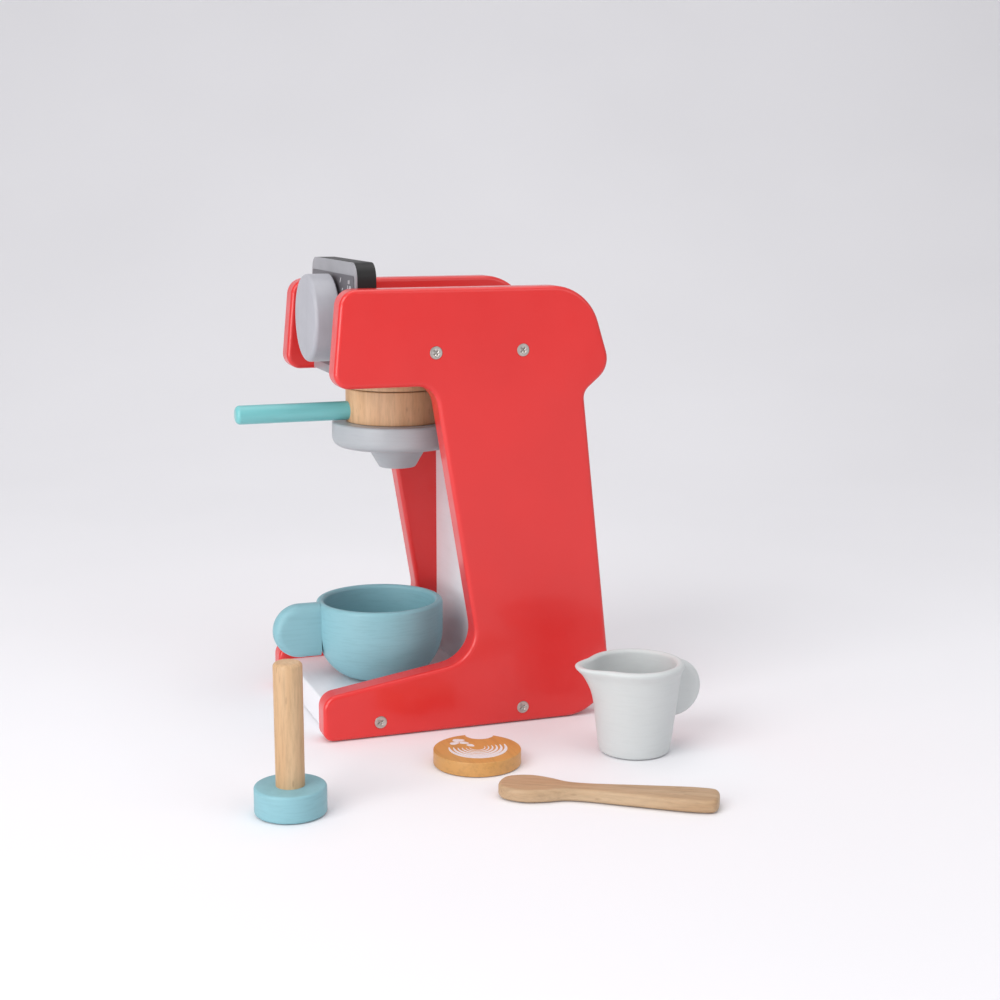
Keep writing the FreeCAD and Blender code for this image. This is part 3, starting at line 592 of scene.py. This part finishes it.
def smooth_ring(points, per_span=14):
    """A closed curve through the points, centripetal so that it doesn't overshoot."""
    ring = []
    count = len(points)
    for i in range(count):
        p = [Vector(points[(i + j - 1) % count]) for j in range(4)]
        t = [0.0]
        for a, b in zip(p, p[1:]):
            t.append(t[-1] + math.sqrt((b - a).length))
        for s in range(per_span):
            u = t[1] + (t[2] - t[1]) * s / per_span
            a1 = p[0].lerp(p[1], (u - t[0]) / (t[1] - t[0]))
            a2 = p[1].lerp(p[2], (u - t[1]) / (t[2] - t[1]))
            a3 = p[2].lerp(p[3], (u - t[2]) / (t[3] - t[2]))
            b1 = a1.lerp(a2, (u - t[0]) / (t[2] - t[0]))
            b2 = a2.lerp(a3, (u - t[1]) / (t[3] - t[1]))
            spot = b1.lerp(b2, (u - t[1]) / (t[2] - t[1]))
            ring.append((spot.x, spot.y))
    return ring


# Half the spoon's outline: how far along it, and half its width there.
spoon_half = [(0, 0), (2.2, 8.0), (8, 11.6), (17, 12.9), (27, 10.3), (36, 6.6), (46, 6.0), (75, 8.6),
              (105.5, 10.7), (113.9, 8.8), (115.5, 0)]
flat = smooth_ring([(u, -v) for u, v in spoon_half] + [(u, v) for u, v in reversed(spoon_half[1:-1])])
cos_t, sin_t = math.cos(SPOON_TURN), math.sin(SPOON_TURN)
flat = [(SPOON[0] + u * cos_t - v * sin_t, SPOON[1] + u * sin_t + v * cos_t) for u, v in flat]
spoon = slab("flat_spoon", flat, 0.0, SPOON_THICK, SPOON_EDGE, BEECH_SPOON, 6)
dress(spoon, "stirring_spoon", ["spoon"])


# Repeated details: copies of one small piece on points that carry their own turn and stretch.
def copies_group():
    group = bpy.data.node_groups.new("copies_on_points", "GeometryNodeTree")
    for name, kind in (("Points", "NodeSocketGeometry"), ("Piece", "NodeSocketObject"),
                       ("Loose turn", "NodeSocketFloat"), ("Seed", "NodeSocketInt"),
                       ("Finish", "NodeSocketMaterial")):
        group.interface.new_socket(name, in_out="INPUT", socket_type=kind)
    group.interface.new_socket("Geometry", in_out="OUTPUT", socket_type="NodeSocketGeometry")
    make, wire = group.nodes.new, group.links.new
    entry, end = make("NodeGroupInput"), make("NodeGroupOutput")
    piece = make("GeometryNodeObjectInfo")
    wire(entry.outputs["Piece"], piece.inputs["Object"])
    turn = make("GeometryNodeInputNamedAttribute")
    turn.data_type = "FLOAT_VECTOR"
    turn.inputs["Name"].default_value = "turn"
    grow = make("GeometryNodeInputNamedAttribute")
    grow.data_type = "FLOAT_VECTOR"
    grow.inputs["Name"].default_value = "grow"
    base = make("FunctionNodeEulerToRotation")
    wire(turn.outputs["Attribute"], base.inputs["Euler"])
    chance = make("FunctionNodeRandomValue")
    chance.data_type = "FLOAT"
    low = make("ShaderNodeMath")
    low.operation = "MULTIPLY"
    low.inputs[1].default_value = -1.0
    wire(entry.outputs["Loose turn"], low.inputs[0])
    floats = [s for s in chance.inputs if s.type == "VALUE"]
    wire(low.outputs[0], floats[0])
    wire(entry.outputs["Loose turn"], floats[1])
    wire(entry.outputs["Seed"], chance.inputs["Seed"])
    spin = make("ShaderNodeCombineXYZ")
    wire(next(o for o in chance.outputs if o.type == "VALUE" and o.enabled), spin.inputs["Z"])
    spun = make("FunctionNodeEulerToRotation")
    wire(spin.outputs["Vector"], spun.inputs["Euler"])
    both = make("FunctionNodeRotateRotation")
    both.rotation_space = "LOCAL"
    wire(base.outputs["Rotation"], both.inputs["Rotation"])
    wire(spun.outputs["Rotation"], both.inputs["Rotate By"])
    copies = make("GeometryNodeInstanceOnPoints")
    wire(entry.outputs["Points"], copies.inputs["Points"])
    wire(piece.outputs["Geometry"], copies.inputs["Instance"])
    wire(both.outputs["Rotation"], copies.inputs["Rotation"])
    wire(grow.outputs["Attribute"], copies.inputs["Scale"])
    real = make("GeometryNodeRealizeInstances")
    wire(copies.outputs["Instances"], real.inputs["Geometry"])
    finish = make("GeometryNodeSetMaterial")
    wire(real.outputs["Geometry"], finish.inputs["Geometry"])
    wire(entry.outputs["Finish"], finish.inputs["Material"])
    wire(finish.outputs["Geometry"], end.inputs["Geometry"])
    return group


COPIES = copies_group()


def copies(name, source, spots, mat, loose=0.0, seed=7):
    """Copies of source on spots, each (place in metres, turn, stretch), baked to one plain mesh."""
    points = bpy.data.meshes.new(name + "_points")
    points.from_pydata([s[0] for s in spots], [], [])
    for key, column in (("turn", 1), ("grow", 2)):
        layer = points.attributes.new(key, "FLOAT_VECTOR", "POINT")
        for i, s in enumerate(spots):
            layer.data[i].vector = s[column]
    holder = bpy.data.objects.new(name + "_points", points)
    bpy.context.scene.collection.objects.link(holder)
    modifier = holder.modifiers.new("copies", "NODES")
    modifier.node_group = COPIES
    sockets = {s.name: s.identifier for s in COPIES.interface.items_tree if s.in_out == "INPUT"}
    modifier[sockets["Piece"]] = source
    modifier[sockets["Loose turn"]] = loose
    modifier[sockets["Seed"]] = seed
    modifier[sockets["Finish"]] = mat
    bpy.context.view_layer.update()
    graph = bpy.context.evaluated_depsgraph_get()
    mesh = bpy.data.meshes.new_from_object(holder.evaluated_get(graph))
    mesh.name = name
    for key in ("turn", "grow"):
        if key in mesh.attributes:
            mesh.attributes.remove(mesh.attributes[key])
    made = bpy.data.objects.new(name, mesh)
    bpy.context.scene.collection.objects.link(made)
    bpy.data.objects.remove(holder)
    source_mesh = source.data
    bpy.data.objects.remove(source)
    bpy.data.meshes.remove(source_mesh)
    return made


# Side screws: a flat countersunk head that faces +Z, with a cross recess cut by two tapering bars.
HEAD_RAD = 3.68
HEAD_DEEP = 2.5
SHANK_RAD = 1.7
CROSS_ARM = 2.2
CROSS_WIDE = 0.5
CROSS_TAPER = 0.6
CROSS_DEEP = 1.5
CROSS_PAST = 0.4
SCREW_OUT = 65.98
SCREW_PLACES = ((-20.4, 222.0), (31.8, 222.0), (-55.3, 9.0), (32.8, 9.0))


def screw_head():
    head_line = [(0, -HEAD_DEEP, 0), (SHANK_RAD, -HEAD_DEEP, 0), (HEAD_RAD, -0.5, 0), (HEAD_RAD, 0, 0.22),
                 (2.9, 0, 0.1), (2.72, -0.1, 0.1), (0, -0.1, 0)]
    head = lathe("screw_head", head_line, STEEL, (0, 0, 0), "Z", 48, 3)
    for wide, deep in ((CROSS_ARM, CROSS_WIDE), (CROSS_WIDE, CROSS_ARM)):
        corners = ((-wide, -deep), (wide, -deep), (wide, deep), (-wide, deep))
        low = [(CROSS_TAPER * x, CROSS_TAPER * y, -CROSS_DEEP) for x, y in corners]
        top = [(x, y, CROSS_PAST) for x, y in corners]
        cutter = level_stack("cross_cutter", [low, top], STEEL)
        hollow = head.modifiers.new("recess", "BOOLEAN")
        hollow.operation = "DIFFERENCE"
        hollow.solver = "EXACT"
        hollow.object = cutter
        bpy.context.view_layer.update()
        graph = bpy.context.evaluated_depsgraph_get()
        cut = bpy.data.meshes.new_from_object(head.evaluated_get(graph))
        head.modifiers.clear()
        head.data = cut
        bpy.data.objects.remove(cutter)
    return head


screw_spots = []
for side in (-1, 1):
    for y, z in SCREW_PLACES:
        screw_spots.append(((side * SCREW_OUT * MM, y * MM, z * MM), (0, side * math.pi / 2, 0), (1, 1, 1)))
screws = copies("side_screw_heads", screw_head(), screw_spots, STEEL, math.radians(80), 11)
dress(screws, "machine", ["right_side_screws", "left_side_screws"])

# Print on the display: flat strokes that start just under the film's face and stand just proud of it.
STROKE_ROUND = 0.22
INK_LOW = -0.02
INK_TOP = 0.07
FILM_Y = -62.9
DIAL_REACH = 28.0
TICK_STEP = math.radians(12.5)
LONG_TICK = 3.4
SHORT_TICK = 2.0
UPRIGHT = math.pi / 2
SLANT = math.radians(75)
SQUARE_MARK = (-37.5, 256.0)
BAR_LOW = 216.5
BAR_STEP = 2.6
BAR_GROWTH = 0.9


def stroke():
    """A printed stroke of one millimetre each way, with round corners."""
    middle = 0.5 - STROKE_ROUND
    corner = [(middle + STROKE_ROUND * math.cos(t), middle + STROKE_ROUND * math.sin(t))
              for t in (math.pi / 2 * k / 4 for k in range(5))]
    outline = []
    for quarter in range(4):
        turn = Matrix.Rotation(quarter * math.pi / 2, 2)
        outline += [tuple(turn @ Vector(p)) for p in corner]
    return slab("print_stroke", outline, INK_LOW, INK_TOP, 0.02, WHITE_INK, 2)


def on_film(x, z, angle, length, width):
    """A stroke on the display film at x and z in millimetres, turned by angle in the film's plane."""
    turn = (Matrix.Rotation(math.pi / 2, 3, "X") @ Matrix.Rotation(angle, 3, "Z")).to_euler()
    return (x * MM, FILM_Y * MM, z * MM), tuple(turn), (length, width, 1)


# Ticks at both sides of the knob.
marks = []
for side in (0, math.pi):
    for k in range(-4, 5):
        angle = side + TICK_STEP * k
        length = LONG_TICK if k % 2 == 0 else SHORT_TICK
        reach = DIAL_REACH + length / 2
        marks.append(on_film(reach * math.cos(angle), KNOB_Z + reach * math.sin(angle), angle, length, 0.7))
# A cup: floor and two walls, three strokes of its ear, and two wisps of steam.
marks += [on_film(37.5, 255.2, 0, 5.0, 0.8), on_film(35.3, 256.9, UPRIGHT, 3.4, 0.8)]
marks += [on_film(39.7, 256.9, UPRIGHT, 3.4, 0.8), on_film(41.0, 257.3, UPRIGHT, 1.6, 0.6)]
marks += [on_film(40.4, 258.2, 0, 1.6, 0.6), on_film(40.4, 256.4, 0, 1.6, 0.6)]
marks += [on_film(36.5, 260.6, SLANT, 2.2, 0.6), on_film(38.6, 260.6, SLANT, 2.2, 0.6)]
# A small square.
marks += [on_film(SQUARE_MARK[0] + dx, SQUARE_MARK[1] + dz, turn, 3.0, 0.7)
          for dx, dz, turn in ((0, 3.2, 0), (0, -0.6, 0), (-1.9, 1.3, UPRIGHT), (1.9, 1.3, UPRIGHT))]
# Bars that rise at the left and fall at the right.
marks += [on_film(-38.0 + BAR_STEP * k, BAR_LOW, UPRIGHT, 2.2 + BAR_GROWTH * k, 0.9) for k in range(4)]
marks += [on_film(34.0 + BAR_STEP * k, BAR_LOW, UPRIGHT, 4.9 - BAR_GROWTH * k, 0.9) for k in range(4)]
dial = copies("dial_marks", stroke(), marks, WHITE_INK, 0.0, 3)
dress(dial, "machine")

# Milk pattern on the disc: nested crescents that open towards the notch, and drops beside it.
CRESCENT_HALF = math.radians(104)
CRESCENT_STEPS = 48
CRESCENT_THICK = 0.165
CRESCENT_REACHES = (4.6, 6.8, 9.1, 11.6, 14.2, 16.9)
PATTERN_SHIFT = 1.6
DROP_TURN = 70.7


def crescent():
    """A tapering arc of radius one millimetre that bulges towards +X."""
    verts, faces = [], []
    for k in range(CRESCENT_STEPS + 1):
        t = -CRESCENT_HALF + 2 * CRESCENT_HALF * k / CRESCENT_STEPS
        thick = CRESCENT_THICK * max(0.05, math.cos(t * 90 / 106)) ** 0.5
        for reach, height in ((1, INK_LOW), (1, INK_TOP), (1 - thick, INK_TOP), (1 - thick, INK_LOW)):
            verts.append((reach * math.cos(t) * MM, reach * math.sin(t) * MM, height * MM))
    for k in range(CRESCENT_STEPS):
        for side in range(4):
            a, b = 4 * k + side, 4 * k + (side + 1) % 4
            faces.append((a, b, b + 4, a + 4))
    faces.append((0, 1, 2, 3))
    faces.append(tuple(4 * CRESCENT_STEPS + side for side in range(4)))
    return sharp_by_angle(outward(mesh_object("milk_crescent", verts, faces, WHITE_INK), 1e-8), 40)


middle = Vector(LATTE) + Vector((math.cos(NOTCH_TURN), math.sin(NOTCH_TURN))) * PATTERN_SHIFT
arcs = []
for k, reach in enumerate(CRESCENT_REACHES):
    place = ((middle.x + 0.06 * reach) * MM, middle.y * MM, LATTE_THICK * MM)
    arcs.append((place, (0, 0, math.radians(-2 - 1.5 * k)), (reach, reach * 0.97, 1)))
art = copies("milk_rosetta", crescent(), arcs, WHITE_INK, math.radians(2), 5)
dress(art, "latte")


def petal():
    """A plump drop, just over a millimetre long, for the tip of the milk pattern."""
    outline = [(math.cos(t) * 0.62, math.sin(t) * 0.42 * (1 - 0.35 * math.cos(t)))
               for t in (2 * math.pi * k / 40 for k in range(40))]
    return slab("milk_petal", outline, INK_LOW, 0.08, 0.01, WHITE_INK, 2)


# Each drop, as the camera sees it: how far right and how far back, its turn in degrees and its length.
DROPS = ((-10.5, 13.6, 10, 5.6), (-12.6, 8.6, 35, 4.6), (-7.2, 9.4, -25, 4.4), (-3.6, 5.2, -40, 4.0))
across = Vector((math.cos(math.radians(DROP_TURN)), math.sin(math.radians(DROP_TURN))))
away = Vector((math.cos(math.radians(DROP_TURN + 90)), math.sin(math.radians(DROP_TURN + 90))))
drops = []
for right, up, turn, long in DROPS:
    spot = Vector(LATTE) + across * right + away * up
    place = (spot.x * MM, spot.y * MM, LATTE_THICK * MM)
    drops.append((place, (0, 0, math.radians(DROP_TURN + turn)), (long, long, 1)))
tip = copies("milk_tip", petal(), drops, WHITE_INK, math.radians(6), 9)
dress(tip, "latte")


# Paint for the CAD pieces that stay.
FINISH = {
    "right_side_panel": RED_PAINT, "left_side_panel": RED_PAINT, "base_board": WHITE_PAINT,
    "back_board": WHITE_PAINT, "head_shelf": WHITE_PAINT, "control_board": BLACK_PAINT,
    "control_face": GREY_FACE, "display_panel": DISPLAY, "knob_spacer": NYLON, "knob_axle": BEECH_ACROSS,
    "knob_retainer": BEECH_ACROSS, "knob_screw": STEEL, "brew_head": BEECH_RED, "brew_head_magnets": STEEL,
    "brew_head_screws": STEEL, "portafilter_magnets": STEEL, "portafilter_pin": BEECH_UP,
    "back_board_dowels": BEECH_UP, "control_board_dowels": BEECH_ACROSS, "cup_handle_dowel": BEECH_ACROSS,
    "jug_handle_dowel": BEECH_ACROSS,
}
for node, look in FINISH.items():
    shown = NODES[node]
    if not shown.material_slots:
        shown.data.materials.append(look)
    for cell in shown.material_slots:
        cell.link = "OBJECT"
        cell.material = look


# Camera, floor and light, in metres. The floor's sweep rises behind the part, square to the camera.
CAMERA_AZIMUTH = 70.744
CAMERA_ELEVATION = 11.653
FLAT_STEPS = 14
CURVE_STEPS = 22
SWEEP_STEPS = 40
SWEEP_RAD = 1.6
SWEEP_FRONT = 5.0
SWEEP_STEP = 0.42
SWEEP_BEND = -0.64
SWEEP_HALF_WIDTH = 7.0
FLOOR_DROP = 0.0004


def aim(obj, place, azimuth, elevation):
    """Puts obj at place, looking back along that azimuth and elevation, without roll."""
    a, e = math.radians(azimuth), math.radians(elevation)
    back = Vector((math.sin(a) * math.cos(e), -math.cos(a) * math.cos(e), math.sin(e)))
    right = Vector((0, 0, 1)).cross(back).normalized()
    up = back.cross(right)
    turn = Matrix((right, up, back)).transposed().to_4x4()
    obj.matrix_world = Matrix.Translation(place) @ turn


scene = bpy.context.scene
lens = bpy.data.cameras.new("camera")
lens.sensor_width = 36.0
lens.lens = 59.7
lens.shift_x = 0.02
lens.shift_y = 0.03
lens.clip_start = 0.01
lens.clip_end = 50.0
camera = bpy.data.objects.new("camera", lens)
scene.collection.objects.link(camera)
aim(camera, (0.9530, -0.3043, 0.3126), CAMERA_AZIMUTH, CAMERA_ELEVATION)
scene.camera = camera

floor_mat, floor_shader = material("floor_paper", linear(232, 231, 234), 0.85)
floor_tone = noise(floor_mat, stretched(floor_mat, (1, 1, 1)), 3, 2)
link(floor_mat, ramp(floor_mat, floor_tone, [(0.3, linear(240, 239, 242)), (0.7, linear(243, 242, 245))]),
     floor_shader.inputs["Base Color"])
sweep = []
for k in range(SWEEP_STEPS + 1):
    if k < FLAT_STEPS:
        sweep.append((SWEEP_FRONT - SWEEP_STEP * k, 0.0))
    else:
        t = math.pi / 2 * min(1.0, (k - FLAT_STEPS) / CURVE_STEPS)
        wall = 0.4 * max(0, k - FLAT_STEPS - CURVE_STEPS)
        sweep.append((SWEEP_BEND - SWEEP_RAD * math.sin(t), SWEEP_RAD - SWEEP_RAD * math.cos(t) + wall))
facing = Matrix.Rotation(math.radians(CAMERA_AZIMUTH - 90), 2)
floor_verts = []
for along, height in sweep:
    for side in (-SWEEP_HALF_WIDTH, SWEEP_HALF_WIDTH):
        floor_verts.append((*(facing @ Vector((along, side))), height - FLOOR_DROP))
floor_faces = [(2 * k, 2 * k + 2, 2 * k + 3, 2 * k + 1) for k in range(SWEEP_STEPS)]
floor = mesh_object("floor", floor_verts, floor_faces, floor_mat)


def area(name, place, target, size, power):
    light = bpy.data.lights.new(name, "AREA")
    light.shape = "RECTANGLE"
    light.size, light.size_y = size
    light.energy = power
    obj = bpy.data.objects.new(name, light)
    scene.collection.objects.link(obj)
    look = Vector(place) - Vector(target)
    obj.matrix_world = Matrix.Translation(place) @ look.to_track_quat("Z", "Y").to_matrix().to_4x4()


area("key", (1.0, -1.5, 1.4), (0.05, -0.02, 0.12), (1.4, 1.1), 19)
area("low_front", (0.75, -1.25, 0.25), (0.0, 0.0, 0.14), (0.9, 0.5), 7)
area("fill", (1.5, 1.1, 1.1), (0.05, 0.0, 0.12), (1.5, 1.2), 7)
area("top", (0.0, 0.0, 1.8), (0.0, 0.0, 0.0), (1.6, 1.6), 12)

# The room lights the part softly, and where nothing stands the camera sees a pale backdrop.
world = bpy.data.worlds.new("soft_room")
scene.world = world
world.use_nodes = True
tree = world.node_tree
background = tree.nodes["Background"]
background.inputs["Strength"].default_value = 1.0
ray = tree.nodes.new("ShaderNodeLightPath")
pick = tree.nodes.new("ShaderNodeMix")
pick.data_type = "RGBA"
pick.inputs["A"].default_value = (0.42, 0.42, 0.43, 1)
pick.inputs["B"].default_value = (*linear(228, 227, 232), 1)
tree.links.new(ray.outputs["Is Camera Ray"], pick.inputs["Factor"])
tree.links.new(next(o for o in pick.outputs if o.type == "RGBA"), background.inputs["Color"])
scene.view_settings.view_transform = "Standard"
